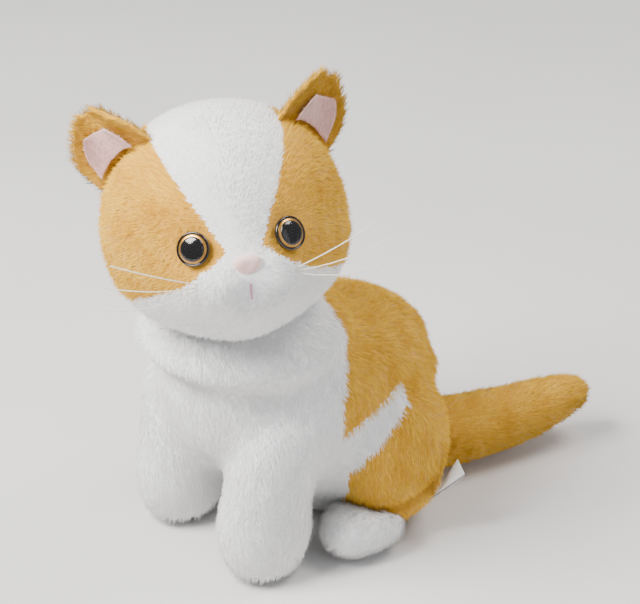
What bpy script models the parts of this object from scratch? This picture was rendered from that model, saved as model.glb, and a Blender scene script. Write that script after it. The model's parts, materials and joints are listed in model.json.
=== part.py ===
"""Seated plush cat, modelled piece by piece in metres.

+Z is up, the body faces -Y and the cat's left is +X.  The origin lies on the resting plane, under the
middle of the sewn base.  Every cover is a sewn shell around its own stuffing.  The head, ears, tail and
label flex at their seams; the head and the tail each sit in a ball seat so that they can turn.
"""

import math

import bmesh
import bpy
from mathutils import Matrix, Vector
from mathutils.bvhtree import BVHTree

# ---------------------------------------------------------------- driving dimensions
GAP = 0.0004             # clearance between pieces that touch
COVER = 0.0018           # thickness of a pile fabric cover
SEAM_GAP = 0.0004        # half the groove between two sewn panels
SLIVER = 0.0001          # points closer than this are one, so that a seam leaves no sliver
COVER_GRID = (24, 16)    # segments round a large form and rings along it
LIMB_GRID = (14, 10)
HAUNCH_GRID = (18, 12)
TAIL_GRID = (16, 12)
STUFFING_INSET = COVER + 5 * GAP

# torso, as sections along its spine: centre, half width, half depth
TORSO_SECTIONS = (
    ((0, 0.0410, 0.030), 0.042, 0.034),
    ((0, 0.0190, 0.0405), 0.056, 0.0625),
    ((0, -0.0050, 0.070), 0.056, 0.058),
    ((0, -0.0390, 0.091), 0.054, 0.055),
    ((0, -0.0480, 0.114), 0.043, 0.042),
    ((0, -0.0470, 0.142), 0.027, 0.027),
)
TORSO_HEART = Vector((0, -0.014, 0.060))
BACK_FRONT_Y = -0.020    # the back starts behind this, and is eased down to stay under the neck seam
BACK_EASE_Z = 0.1020
BACK_EASE = 0.0080
BASE_SEAM_POINT = Vector((0, -0.017, 0.007))
BASE_SEAM_SLOPE = 0.26   # the seam falls towards the back, to meet the table ahead of the tail
CHEST_SEAM_POINT = Vector((0, -0.0180, 0.095))
CHEST_SEAM_NORMAL = Vector((0, 0.83, -0.56)).normalized()
FLANK_SEAM_POINT = Vector((0, 0.018, 0.086))
FLANK_SEAM_SLOPE = 0.26
RUMP_SEAM_Y = 0.0180

# ball seat of the neck
NECK_CENTRE = Vector((0, -0.0470, 0.100))
NECK_RADIUS = 0.0465
NECK_SEAM_Z = 0.112
THREAD_RADIUS = 0.0006

# head, in its own frame: +X the cat's left, -Y the way the face looks, +Z up
HEAD_CENTRE = Vector((0, -0.0580, 0.1765))
HEAD_YAW = math.radians(62.5)
HEAD_ROLL = math.radians(-4)
HEAD_HALF = (0.0550, 0.0520, 0.0510)
BACK_SEAM_Y = 0.028
JAW_SEAM_Z = -0.028
BLAZE_SLOPE = 0.66       # widening of the blaze for each unit of height
BLAZE_FOOT = (0.008, 0.012)
CHEEK_SLOPE = 0.80       # fall of the cheek's lower edge for each unit outwards
CHEEK_FOOT = (0.012, 0.008)

# eyes, about their own axis, which points out of the face
EYE_AIM = Vector((0.42, -1.0, 0.24))
EYE_RADIUS = 0.0075
EYE_SINK = 0.0012
IRIS_RADIUS = 0.0067
PUPIL_RADIUS = 0.0046
SHANK_RADIUS = 0.0020
SHANK_LENGTH = 0.0120
WASHER_RADIUS = 0.0060
WASHER_THICKNESS = 0.0015
WASHER_TOP = -0.0032      # height of the washer behind the eye
EYE_STEPS = 16

# ears
EAR_HALF_WIDTH = 0.0215
EAR_HEIGHT = 0.0245
EAR_BASE_AIM = Vector((0.75, 0.14, 0.57))
EAR_UP = Vector((0.46, 0.20, 0.86)).normalized()
EAR_OUT = Vector((0.74, 0.47, -0.505)).normalized()
EAR_CLEARANCE = 0.0015
EAR_THICKNESS = 0.0034
LINING_THICKNESS = 0.0012
EAR_CUP = 0.0080

# whiskers, nose and mouth
WHISKER_RADIUS = 0.00028
WHISKER_LENGTH = 0.042
WHISKERS_A_SIDE = 3
NOSE_HALF = (0.0058, 0.0032, 0.0048)
NOSE_AIM = Vector((0, -1, 0.09))

# legs: centre, half width, half depth, for the left side
FORELEG_SECTIONS = (
    ((0.033, -0.0490, 0.102), 0.018, 0.020),
    ((0.036, -0.0540, 0.076), 0.023, 0.024),
    ((0.033, -0.0610, 0.044), 0.0215, 0.0235),
    ((0.032, -0.0630, 0.018), 0.0240, 0.0270),
    ((0.032, -0.0650, -0.006), 0.0235, 0.0270),
)
HAUNCH_CENTRE = Vector((0.042, 0.0080, 0.0455))
HAUNCH_HALF = (0.0250, 0.0335, 0.0445)
HIND_PAW_SECTIONS = (
    ((0.049, 0.0060, 0.013), 0.0150, 0.0120),
    ((0.049, -0.0030, 0.014), 0.0185, 0.0145),
    ((0.049, -0.0230, 0.0145), 0.0195, 0.0150),
    ((0.0495, -0.0410, 0.012), 0.0170, 0.0135),
)

# ball seat of the tail, and the tail's sections
TAIL_CENTRE = Vector((0.013, 0.0340, 0.0215))
TAIL_SEAT_RADIUS = 0.0260
TAIL_YAW = math.radians(-18)
TAIL_SECTIONS = (
    ((0, 0.004, 0), 0.0195, 0.0195),
    ((0, 0.030, -0.001), 0.0195, 0.0195),
    ((0, 0.066, 0.000), 0.0175, 0.0175),
    ((0, 0.114, 0.008), 0.0145, 0.0150),
)

# sewn label
LABEL_SIZE = (0.009, 0.0225, 0.0008)
LABEL_AIM = Vector((0.80, 0.30, -0.90))
LABEL_DIRECTION = Vector((0.32, 0.48, 0.82)).normalized()

# ---------------------------------------------------------------- finishes: colour, roughness, metallic
GOLD_PLUSH = ("gold_plush", (0.78, 0.50, 0.17), 0.95, 0.0)
WHITE_PLUSH = ("white_plush", (0.86, 0.85, 0.85), 0.95, 0.0)
PINK_PLUSH = ("pink_plush", (0.80, 0.52, 0.48), 0.9, 0.0)
FIBRE = ("fibre", (0.90, 0.90, 0.88), 1.0, 0.0)
NOSE_FLOCK = ("nose_flock", (0.88, 0.55, 0.50), 0.9, 0.0)
MOUTH_THREAD = ("mouth_thread", (0.52, 0.30, 0.40), 0.8, 0.0)
SEAM_THREAD = ("seam_thread", (0.88, 0.86, 0.82), 0.8, 0.0)
BLACK_PLASTIC = ("black_plastic", (0.02, 0.015, 0.012), 0.2, 0.0)
IRIS_FOIL = ("iris_foil", (0.72, 0.47, 0.16), 0.3, 1.0)
CLEAR_PLASTIC = ("clear_plastic", (0.95, 0.95, 0.95), 0.05, 0.0)
WASHER_PLASTIC = ("washer_plastic", (0.90, 0.90, 0.88), 0.4, 0.0)
WHISKER_NYLON = ("whisker_nylon", (0.90, 0.82, 0.66), 0.35, 0.0)
LABEL_SATIN = ("label_satin", (0.82, 0.82, 0.84), 0.5, 0.0)


# ---------------------------------------------------------------- scene helpers
def clear_scene():
    for old in list(bpy.data.objects):
        bpy.data.objects.remove(old, do_unlink=True)


def new_collection(name):
    collection = bpy.data.collections.new(name)
    bpy.context.scene.collection.children.link(collection)
    return collection


def finish_material(finish):
    name, colour, roughness, metallic = finish
    material = bpy.data.materials.get(name)
    if material is None:
        material = bpy.data.materials.new(name)
        material.use_nodes = True
        shader = material.node_tree.nodes["Principled BSDF"]
        shader.inputs["Base Color"].default_value = (*colour, 1.0)
        shader.inputs["Roughness"].default_value = roughness
        shader.inputs["Metallic"].default_value = metallic
    return material


def add_piece(name, form, finish, frame=None):
    """Makes the named object of one sub-part from a bmesh, which it frees."""
    mesh = bpy.data.meshes.new(name)
    form.normal_update()
    form.to_mesh(mesh)
    form.free()
    mesh.shade_smooth()
    mesh.materials.append(finish_material(finish))
    piece = bpy.data.objects.new(name, mesh)
    PARTS.objects.link(piece)
    if frame is not None:
        piece.matrix_world = frame
    return piece


def add_cutter(name, form):
    mesh = bpy.data.meshes.new(name)
    form.to_mesh(mesh)
    form.free()
    cutter = bpy.data.objects.new(name, mesh)
    CUTTERS.objects.link(cutter)
    cutter.hide_render = True
    cutter.display_type = "WIRE"
    return cutter


def thicken(piece, thickness=COVER):
    """Gives an open cover its thickness, inwards from its outer face."""
    solidify = piece.modifiers.new("thickness", "SOLIDIFY")
    solidify.thickness = thickness
    solidify.offset = -1


def boolean(piece, other, operation):
    modifier = piece.modifiers.new(operation.lower(), "BOOLEAN")
    modifier.operation = operation
    modifier.solver = "EXACT"
    modifier.object = other


def cut(piece, cutter):
    boolean(piece, cutter, "DIFFERENCE")


# ---------------------------------------------------------------- forms
def grown(form, distance):
    """Moves each vertex of a form out along its normal, or in where the distance is negative."""
    form.normal_update()
    moved = [vert.co + vert.normal * distance for vert in form.verts]
    for vert, place in zip(form.verts, moved):
        vert.co = place
    return form


def placed(form, frame):
    bmesh.ops.transform(form, matrix=frame, verts=form.verts)
    return form


def ellipsoid(half, segments, rings):
    form = bmesh.new()
    bmesh.ops.create_uvsphere(form, u_segments=segments, v_segments=rings, radius=1)
    bmesh.ops.scale(form, vec=half, verts=form.verts)
    return form


def ball(centre, radius, segments=24, rings=14):
    return placed(ellipsoid((radius,) * 3, segments, rings), Matrix.Translation(centre))


def swell(form, centre, push, spread):
    """Adds a soft swelling that fades out with distance from its centre."""
    for vert in form.verts:
        away = (vert.co - Vector(centre)).length_squared
        vert.co += Vector(push) * math.exp(-away / (2 * spread * spread))
    return form


def catmull(values, place):
    """Smooth value through a list of values, with place running from 0 to 1."""
    last = len(values) - 1
    index = min(int(place * last), last - 1)
    step = place * last - index
    before = values[max(index - 1, 0)]
    start = values[index]
    end = values[index + 1]
    after = values[min(index + 2, last)]
    linear = (end - before) * 0.5
    square = before - start * 2.5 + end * 2.0 - after * 0.5
    cube = (start - end) * 1.5 + (after - before) * 0.5
    return start + (linear + (square + cube * step) * step) * step


def pod(sections, segments, rings, bluntness=2.6):
    """A stuffed limb: an ellipse swept along a spine and rounded off at both ends."""
    centres = [Vector(section[0]) for section in sections]
    widths = [section[1] for section in sections]
    depths = [section[2] for section in sections]
    form = ellipsoid((1, 1, 1), segments, rings)
    for vert in form.verts:
        height = max(-1.0, min(1.0, vert.co.z))
        latitude = math.asin(height) / (math.pi / 2)
        place = (latitude + 1) / 2
        ring = math.hypot(vert.co.x, vert.co.y)
        across = vert.co.x / ring if ring > 1e-6 else 0.0
        along = vert.co.y / ring if ring > 1e-6 else 0.0
        closing = max(0.0, 1 - abs(latitude) ** bluntness) ** 0.5
        tangent = catmull(centres, min(1.0, place + 0.02)) - catmull(centres, max(0.0, place - 0.02))
        depth_axis = tangent.normalized().cross(Vector((1, 0, 0)))
        centre = catmull(centres, place)
        wide = Vector((1, 0, 0)) * across * closing * catmull(widths, place)
        deep = depth_axis * along * closing * catmull(depths, place)
        vert.co = centre + wide + deep
    form.normal_update()
    bmesh.ops.recalc_face_normals(form, faces=form.faces)
    return form


def faceted(form):
    """Splits a finished form into triangles, so that each shape derived from it shares its facets."""
    bmesh.ops.triangulate(form, faces=form.faces)
    return form


def flattened(form):
    """Rests a form on the table: whatever would hang below it is pressed flat."""
    for vert in form.verts:
        vert.co.z = max(vert.co.z, 0.0)
    return faceted(form)


def mirrored(form):
    bmesh.ops.scale(form, vec=(-1, 1, 1), verts=form.verts)
    bmesh.ops.reverse_faces(form, faces=form.faces)
    return form


def kept(form, walls, filled=False):
    """Keeps what lies behind every wall; a wall is a point and the normal of the side cut away."""
    for point, normal in walls:
        geometry = form.verts[:] + form.edges[:] + form.faces[:]
        sunk = Vector(point) - Vector(normal).normalized() * SEAM_GAP
        bmesh.ops.bisect_plane(
            form, geom=geometry, dist=1e-6, plane_co=sunk, plane_no=normal, clear_outer=True
        )
        if filled:
            rim = [edge for edge in form.edges if edge.is_boundary]
            bmesh.ops.holes_fill(form, edges=rim, sides=0)
    bmesh.ops.remove_doubles(form, verts=form.verts, dist=SLIVER)
    return form


def ray_to_surface(form, origin, aim):
    """The outermost point of a form along a ray, and the normal there."""
    tree = BVHTree.FromBMesh(form)
    reach = 1.0
    place, normal, _, _ = tree.ray_cast(Vector(origin) + Vector(aim).normalized() * reach, -Vector(aim))
    return place, normal


def turned(profile, segments):
    """A solid of revolution about Z from a closed list of radius and height, top to bottom."""
    form = bmesh.new()
    verts = [form.verts.new((radius, 0, height)) for radius, height in profile]
    edges = [form.edges.new(pair) for pair in zip(verts, verts[1:])]
    bmesh.ops.spin(
        form, geom=verts + edges, cent=(0, 0, 0), axis=(0, 0, 1), angle=math.tau, steps=segments
    )
    bmesh.ops.remove_doubles(form, verts=form.verts, dist=1e-6)
    bmesh.ops.recalc_face_normals(form, faces=form.faces)
    return form


def tube(name, points, radius, finish, sides=2, closed=False):
    """A thread, whisker or stitch: a round curve with filled ends."""
    curve = bpy.data.curves.new(name, "CURVE")
    curve.dimensions = "3D"
    curve.bevel_depth = radius
    curve.bevel_resolution = sides
    curve.use_fill_caps = True
    spline = curve.splines.new("POLY")
    spline.points.add(len(points) - 1)
    for knot, place in zip(spline.points, points):
        knot.co = (*place, 1)
    spline.use_cyclic_u = closed
    curve.materials.append(finish_material(finish))
    piece = bpy.data.objects.new(name, curve)
    PARTS.objects.link(piece)
    return piece


def frame_from(origin, out, up):
    """A frame whose Z is out and whose Y is as near up as it can be."""
    z_axis = Vector(out).normalized()
    x_axis = Vector(up).cross(z_axis).normalized()
    y_axis = z_axis.cross(x_axis)
    rotation = Matrix((x_axis, y_axis, z_axis)).transposed().to_4x4()
    return Matrix.Translation(origin) @ rotation


# ---------------------------------------------------------------- outer forms
def torso_form():
    """The outermost surface of the swept sections as rays from the torso's heart meet it, so it can't fold."""
    swept = pod(TORSO_SECTIONS, *COVER_GRID, 3.0)
    form = ellipsoid((1, 1, 1), *COVER_GRID)
    for vert in form.verts:
        aim = vert.co.normalized()
        place, _ = ray_to_surface(swept, TORSO_HEART, aim)
        if place.z > BACK_EASE_Z:
            rise = (place.z - BACK_EASE_Z) / BACK_EASE
            eased = BACK_EASE_Z + BACK_EASE * (1 - math.exp(-rise))
            behind = min(1.0, max(0.0, (place.y - BACK_FRONT_Y) / BACK_EASE))
            height = place.z + (eased - place.z) * behind
            place = TORSO_HEART + (place - TORSO_HEART) * (height - TORSO_HEART.z) / (place.z - TORSO_HEART.z)
        vert.co = place
    swept.free()
    form.normal_update()
    bmesh.ops.recalc_face_normals(form, faces=form.faces)
    return flattened(form)


def head_frame():
    turn = Matrix.Rotation(HEAD_YAW, 4, "Z") @ Matrix.Rotation(HEAD_ROLL, 4, "Y")
    return Matrix.Translation(HEAD_CENTRE) @ turn


def head_form():
    """The head in its own frame: a round form with full cheeks, a muzzle and a soft double chin."""
    form = ellipsoid(HEAD_HALF, *COVER_GRID)
    swell(form, (0, -0.050, -0.006), (0, -0.0095, -0.001), 0.018)
    swell(form, (0, -0.030, -0.042), (0, -0.0060, -0.004), 0.020)
    for side in (-1, 1):
        swell(form, (side * 0.042, -0.018, -0.024), (side * 0.0045, -0.003, -0.002), 0.020)
        swell(form, (side * 0.017, -0.048, -0.009), (side * 0.002, -0.0045, 0), 0.011)
    return faceted(form)


def foreleg_form(side):
    form = flattened(pod(FORELEG_SECTIONS, *LIMB_GRID, 3.0))
    return form if side > 0 else mirrored(form)


def haunch_form(side):
    form = placed(ellipsoid(HAUNCH_HALF, *HAUNCH_GRID), Matrix.Translation(HAUNCH_CENTRE))
    flattened(form)
    return form if side > 0 else mirrored(form)


def hind_paw_form(side):
    form = flattened(pod(HIND_PAW_SECTIONS, *LIMB_GRID, 3.0))
    return form if side > 0 else mirrored(form)


def tail_frame():
    return Matrix.Translation(TAIL_CENTRE) @ Matrix.Rotation(TAIL_YAW, 4, "Z")


def tail_form():
    form = placed(pod(TAIL_SECTIONS, *TAIL_GRID, 3.4), tail_frame())
    return flattened(form)


# ---------------------------------------------------------------- torso
def build_torso():
    chest_wall = (CHEST_SEAM_POINT, CHEST_SEAM_NORMAL)
    back_wall = (CHEST_SEAM_POINT, -CHEST_SEAM_NORMAL)
    neck_wall = ((0, 0, NECK_SEAM_Z), (0, 0, 1))
    base_rise = Vector((0, BASE_SEAM_SLOPE, 1))
    above_base = (BASE_SEAM_POINT, -base_rise)
    below_base = (BASE_SEAM_POINT, base_rise)
    flank_rise = Vector((0, FLANK_SEAM_SLOPE, 1))
    above_flank = (FLANK_SEAM_POINT, -flank_rise)
    below_flank = (FLANK_SEAM_POINT, flank_rise)
    ahead_of_rump = ((0, RUMP_SEAM_Y, 0), (0, 1, 0))
    behind_flank = ((0, RUMP_SEAM_Y, 0), (0, -1, 0))

    panels = {
        "chest_panel": ([chest_wall, neck_wall, above_base], WHITE_PLUSH),
        "rump_panel": ([behind_flank, below_flank, above_base], GOLD_PLUSH),
        "base_panel": ([below_base], WHITE_PLUSH),
    }
    for name, side in (("left", 1), ("right", -1)):
        side_wall = ((0, 0, 0), (-side, 0, 0))
        panels[f"back_panel_{name}"] = ([side_wall, back_wall, neck_wall, above_flank], GOLD_PLUSH)
        panels[f"flank_panel_{name}"] = (
            [side_wall, back_wall, above_base, below_flank, ahead_of_rump], WHITE_PLUSH
        )
    for name, (walls, finish) in panels.items():
        panel = add_piece(name, kept(torso_form(), walls), finish)
        thicken(panel)
        if name.startswith(("flank_panel", "rump_panel")):
            cut(panel, TAIL_BALL_CUTTER)

    body = grown(torso_form(), -STUFFING_INSET)
    below_neck = ((0, 0, NECK_SEAM_Z + 0.001), (0, 0, 1))
    stuffing = add_piece("torso_stuffing", kept(body, [below_neck], filled=True), FIBRE)
    cap = kept(
        ball(NECK_CENTRE, NECK_RADIUS - GAP), [((0, 0, NECK_SEAM_Z), (0, 0, -1))], filled=True
    )
    boolean(stuffing, add_cutter("neck_cap", cap), "UNION")
    boolean(stuffing, add_cutter("tail_cap", ball(TAIL_CENTRE, TAIL_SEAT_RADIUS - GAP, 18, 12)), "UNION")
    cut(stuffing, TABLE_CUTTER)


def ring_points(centre, axis, distance, angle, count):
    """Points of a ring that lies on a ball seat, at an angle from the seat's axis."""
    frame = frame_from(centre, axis, (0, 0, 1) if abs(axis.z) < 0.9 else (0, 1, 0))
    radius = distance * math.sin(angle)
    height = distance * math.cos(angle)
    turns = [math.tau * step / count for step in range(count)]
    return [frame @ Vector((radius * math.cos(a), radius * math.sin(a), height)) for a in turns]


def build_seam_threads():
    neck_distance = NECK_RADIUS + GAP + THREAD_RADIUS
    neck_angle = math.acos((NECK_SEAM_Z + 0.002 - NECK_CENTRE.z) / neck_distance)
    neck = ring_points(NECK_CENTRE, Vector((0, 0, 1)), neck_distance, neck_angle, 36)
    tube("neck_seam_thread", neck, THREAD_RADIUS, SEAM_THREAD, 1, closed=True)


# ---------------------------------------------------------------- head
def head_walls():
    blaze_x, blaze_z = BLAZE_FOOT
    cheek_x, cheek_z = CHEEK_FOOT
    bridge_z = (cheek_z + CHEEK_SLOPE * (cheek_x - blaze_x + BLAZE_SLOPE * blaze_z)) / (
        1 + CHEEK_SLOPE * BLAZE_SLOPE
    )
    walls = {
        "front": ((0, BACK_SEAM_Y, 0), (0, 1, 0)),
        "back": ((0, BACK_SEAM_Y, 0), (0, -1, 0)),
        "above_bridge": ((0, 0, bridge_z), (0, 0, -1)),
        "below_bridge": ((0, 0, bridge_z), (0, 0, 1)),
        "above_jaw": ((0, 0, JAW_SEAM_Z), (0, 0, -1)),
        "below_jaw": ((0, 0, JAW_SEAM_Z), (0, 0, 1)),
    }
    for name, side in (("left", 1), ("right", -1)):
        blaze = Vector((side, 0, -BLAZE_SLOPE))
        lower = Vector((side * CHEEK_SLOPE, 0, 1))
        walls[f"in_blaze_{name}"] = ((side * blaze_x, 0, blaze_z), blaze)
        walls[f"out_blaze_{name}"] = ((side * blaze_x, 0, blaze_z), -blaze)
        walls[f"below_cheek_{name}"] = ((side * cheek_x, 0, cheek_z), lower)
        walls[f"above_cheek_{name}"] = ((side * cheek_x, 0, cheek_z), -lower)
    return walls


def build_head():
    walls = head_walls()
    white_sides = ["below_cheek_left", "below_cheek_right"]
    panels = {
        "blaze_panel": (["front", "above_bridge", "in_blaze_left", "in_blaze_right"], WHITE_PLUSH),
        "muzzle_panel": (["front", "below_bridge", "above_jaw", *white_sides], WHITE_PLUSH),
        "jaw_panel": (["front", "below_jaw", *white_sides], WHITE_PLUSH),
        "head_back_panel": (["back"], GOLD_PLUSH),
        "cheek_panel_left": (["front", "out_blaze_left", "above_cheek_left"], GOLD_PLUSH),
        "cheek_panel_right": (["front", "out_blaze_right", "above_cheek_right"], GOLD_PLUSH),
    }
    frame = head_frame()
    for name, (names, finish) in panels.items():
        panel = add_piece(name, kept(head_form(), [walls[wall] for wall in names]), finish, frame)
        thicken(panel)
        if name in ("jaw_panel", "head_back_panel"):
            cut(panel, HEAD_SEAT_CUTTER)
        if name.startswith("cheek"):
            cut(panel, EYE_SEAT_CUTTERS[name.rsplit("_", 1)[1]])
    stuffing = add_piece("head_stuffing", grown(head_form(), -STUFFING_INSET), FIBRE, frame)
    cut(stuffing, HEAD_SEAT_CUTTER)
    for cutter in EYE_POCKET_CUTTERS.values():
        cut(stuffing, cutter)


def eye_frame(side):
    aim = Vector((side * EYE_AIM.x, EYE_AIM.y, EYE_AIM.z))
    form = head_form()
    place, normal = ray_to_surface(form, (0, 0, 0), aim)
    form.free()
    sunk = place - normal * EYE_SINK
    return head_frame() @ frame_from(sunk, normal, (0, 0, 1))


def eye_seat_profile():
    """The hollow that the pressed pile leaves behind an eye, with the hole for its shank."""
    hole = SHANK_RADIUS + GAP
    rim = EYE_RADIUS + GAP
    return [(0, 0.006), (rim, 0.006), (rim, -GAP), (hole, -GAP), (hole, -0.006), (0, -0.006)]


def eye_pocket_profile():
    """The room that a shank and its washer take up inside the stuffing."""
    top = EYE_RADIUS + GAP
    rim = WASHER_RADIUS + GAP
    hole = SHANK_RADIUS + GAP
    floor = WASHER_TOP - WASHER_THICKNESS - GAP
    end = -SHANK_LENGTH - GAP
    return [(0, 0.006), (top, 0.006), (top, -COVER), (rim, -COVER), (rim, floor),
            (hole, floor), (hole, end), (0, end)]


def eye_base_profile():
    lip = EYE_RADIUS - 0.0006
    return [(0, 0.0015), (lip - 0.0001, 0.0015), (lip, 0.0026), (EYE_RADIUS - 0.0001, 0.0026),
            (EYE_RADIUS, 0.0006), (EYE_RADIUS - 0.0008, 0.0), (SHANK_RADIUS, 0.0),
            (SHANK_RADIUS, -SHANK_LENGTH), (0, -SHANK_LENGTH)]


def ring_profile(inner, outer, bottom, top):
    return [(inner, top), (outer, top), (outer, bottom), (inner, bottom), (inner, top)]


def disc_profile(radius, bottom, top):
    return [(0, top), (radius, top), (radius, bottom), (0, bottom)]


def lens_profile(radius, bottom, rise, steps=5):
    """A clear dome: a shallow cap over a short straight side."""
    side = bottom + 0.0004
    cap = []
    for step in range(steps + 1):
        angle = math.pi / 2 * (1 - step / steps)
        cap.append((radius * math.cos(angle), side + rise * math.sin(angle)))
    return cap + [(radius, bottom), (0, bottom)]


def build_eyes():
    for name, side in (("left", 1), ("right", -1)):
        frame = EYE_FRAMES[name]
        iris_bottom = 0.0015 + GAP
        iris_top = iris_bottom + 0.0006
        pieces = {
            "base": (eye_base_profile(), BLACK_PLASTIC),
            "iris": (ring_profile(PUPIL_RADIUS, IRIS_RADIUS - 0.0003, iris_bottom, iris_top), IRIS_FOIL),
            "pupil": (disc_profile(PUPIL_RADIUS - GAP, iris_bottom, iris_top), BLACK_PLASTIC),
            "lens": (lens_profile(IRIS_RADIUS - 0.0003, iris_top + GAP, 0.0034), CLEAR_PLASTIC),
            "washer": (
                ring_profile(SHANK_RADIUS + GAP, WASHER_RADIUS, WASHER_TOP - WASHER_THICKNESS, WASHER_TOP),
                WASHER_PLASTIC,
            ),
        }
        for part, (profile, finish) in pieces.items():
            add_piece(f"eye_{part}_{name}", turned(profile, EYE_STEPS), finish, frame)


def build_nose():
    place, normal = ray_to_surface(HEAD_LOCAL, (0, 0, 0), NOSE_AIM)
    form = ellipsoid(NOSE_HALF, 16, 10)
    for vert in form.verts:
        vert.co.x *= 1 + 0.45 * vert.co.z / NOSE_HALF[2]
    nose = add_piece("nose", placed(form, Matrix.Translation(place)), NOSE_FLOCK, head_frame())
    cut(nose, HEAD_SKIN_CUTTER)


def on_head(aim, lift):
    place, normal = ray_to_surface(HEAD_LOCAL, (0, 0, 0), aim)
    return head_frame() @ (place + normal * lift)


def build_mouth():
    lift = 0.0005 + GAP
    aims = [Vector((0, -1, slope)) for slope in (-0.03, -0.07, -0.11, -0.15)]
    tube("mouth_stitch", [on_head(aim, lift) for aim in aims], 0.0005, MOUTH_THREAD)


def build_whiskers():
    """Nylon hairs that leave the muzzle together, fan out and bend back a little."""
    frame = head_frame()
    steps = 7
    for name, side in (("left", 1), ("right", -1)):
        for index in range(WHISKERS_A_SIDE):
            aim = Vector((side * (0.40 + 0.012 * index), -1, -0.03 - 0.035 * index))
            root, normal = ray_to_surface(HEAD_LOCAL, (0, 0, 0), aim)
            start = root + normal * (GAP + 2 * WHISKER_RADIUS)
            lift = 0.50 - 0.32 * index
            heading = Vector((side * 0.88, -0.34, lift)).normalized()
            droop = Vector((side * 0.02, 0.30, -0.06 + 0.14 * index))
            points = []
            for step in range(steps):
                run = WHISKER_LENGTH * step / (steps - 1)
                points.append(frame @ (start + heading * run + droop * (run * run / WHISKER_LENGTH) * 0.8))
            tube(f"whisker_{name}_{index + 1}", points, WHISKER_RADIUS, WHISKER_NYLON)


def ear_frame(side):
    """The ear's own frame: X outwards along its base, Y up to its tip, Z out of its lined face."""
    aim = Vector((side * EAR_BASE_AIM.x, EAR_BASE_AIM.y, EAR_BASE_AIM.z))
    place, normal = ray_to_surface(HEAD_LOCAL, (0, 0, 0), aim)
    up = Vector((side * EAR_UP.x, EAR_UP.y, EAR_UP.z))
    out = Vector((side * EAR_OUT.x, EAR_OUT.y, EAR_OUT.z))
    face = out.cross(up) * side
    rotation = Matrix((up.cross(face), up, face)).transposed().to_4x4()
    base = place + normal * (EAR_CLEARANCE * 0.5)
    return head_frame() @ Matrix.Translation(base) @ rotation


def ear_sheet(shrink, lift, columns, rows):
    """A rounded triangle, cupped towards its face and longer below the base, where the head cuts it."""
    form = bmesh.new()
    bmesh.ops.create_grid(form, x_segments=columns, y_segments=rows, size=1)
    for vert in form.verts:
        rise = (vert.co.y + 1) / 2
        height = -0.010 + (EAR_HEIGHT - shrink + 0.010) * rise
        share = max(0.0, height) / EAR_HEIGHT
        half_width = (EAR_HALF_WIDTH - shrink) * (1 - 0.86 * share ** 1.9)
        cup = EAR_CUP * (vert.co.x ** 2) * (0.35 + 0.65 * min(1.0, share * 1.4)) * (1 - 0.6 * share)
        vert.co = Vector((vert.co.x * half_width, height, cup + lift))
    bmesh.ops.recalc_face_normals(form, faces=form.faces)
    if form.faces[:][0].normal.z < 0:
        bmesh.ops.reverse_faces(form, faces=form.faces)
    return form


def build_ears():
    for name, side in (("left", 1), ("right", -1)):
        frame = ear_frame(side)
        outer = add_piece(f"ear_outer_{name}", ear_sheet(0, 0, 8, 8), GOLD_PLUSH, frame)
        thicken(outer, EAR_THICKNESS)
        lift = LINING_THICKNESS + GAP
        lining = add_piece(f"ear_lining_{name}", ear_sheet(0.0062, lift, 8, 8), PINK_PLUSH, frame)
        thicken(lining, LINING_THICKNESS)
        for piece in (outer, lining):
            cut(piece, EAR_CUTTER)


# ---------------------------------------------------------------- legs and tail
def build_limb(name, make_form, side, finish, cutters):
    """A closed limb: its cover is a shell that opens where the limb is sewn on."""
    cover = add_piece(f"{name}_cover", make_form(side), finish)
    thicken(cover)
    stuffing = add_piece(f"{name}_stuffing", grown(make_form(side), -STUFFING_INSET), FIBRE)
    for cutter in cutters:
        cut(cover, cutter)
        cut(stuffing, cutter)


def build_legs():
    torso_skin = add_cutter("torso_skin", grown(torso_form(), GAP))
    for name, side in (("left", 1), ("right", -1)):
        haunch_skin = add_cutter(f"haunch_skin_{name}", grown(haunch_form(side), GAP))
        build_limb(f"foreleg_{name}", foreleg_form, side, WHITE_PLUSH, [torso_skin])
        build_limb(f"haunch_{name}", haunch_form, side, GOLD_PLUSH, [torso_skin, TAIL_BALL_CUTTER])
        build_limb(f"hind_paw_{name}", hind_paw_form, side, WHITE_PLUSH, [torso_skin, haunch_skin])


def build_tail():
    seat = add_cutter("tail_seat", ball(TAIL_CENTRE, TAIL_SEAT_RADIUS + 2 * GAP, 18, 12))
    cover = add_piece("tail_cover", tail_form(), GOLD_PLUSH)
    thicken(cover)
    stuffing = add_piece("tail_stuffing", grown(tail_form(), -STUFFING_INSET), FIBRE)
    cut(cover, seat)
    cut(stuffing, seat)


def build_label():
    """A blank satin tab whose short edge is sewn into the seam under the left haunch."""
    form = haunch_form(1)
    place, normal = ray_to_surface(form, HAUNCH_CENTRE, LABEL_AIM)
    form.free()
    width, length, thickness = LABEL_SIZE
    side = LABEL_DIRECTION.cross(normal).normalized()
    face = side.cross(LABEL_DIRECTION)
    rotation = Matrix((side, LABEL_DIRECTION, face)).transposed().to_4x4()
    start = place + normal * (thickness + GAP)
    sheet = bmesh.new()
    bmesh.ops.create_grid(sheet, x_segments=1, y_segments=8, size=0.5)
    for vert in sheet.verts:
        run = vert.co.y + 0.5
        vert.co = Vector((vert.co.x * width, run * length, 0.0022 * run * run))
    label = add_piece("sewn_label", sheet, LABEL_SATIN, Matrix.Translation(start) @ rotation)
    thicken(label, thickness)


# ---------------------------------------------------------------- assembly
clear_scene()
PARTS = new_collection("plush_cat")
CUTTERS = new_collection("cutters")

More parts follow.
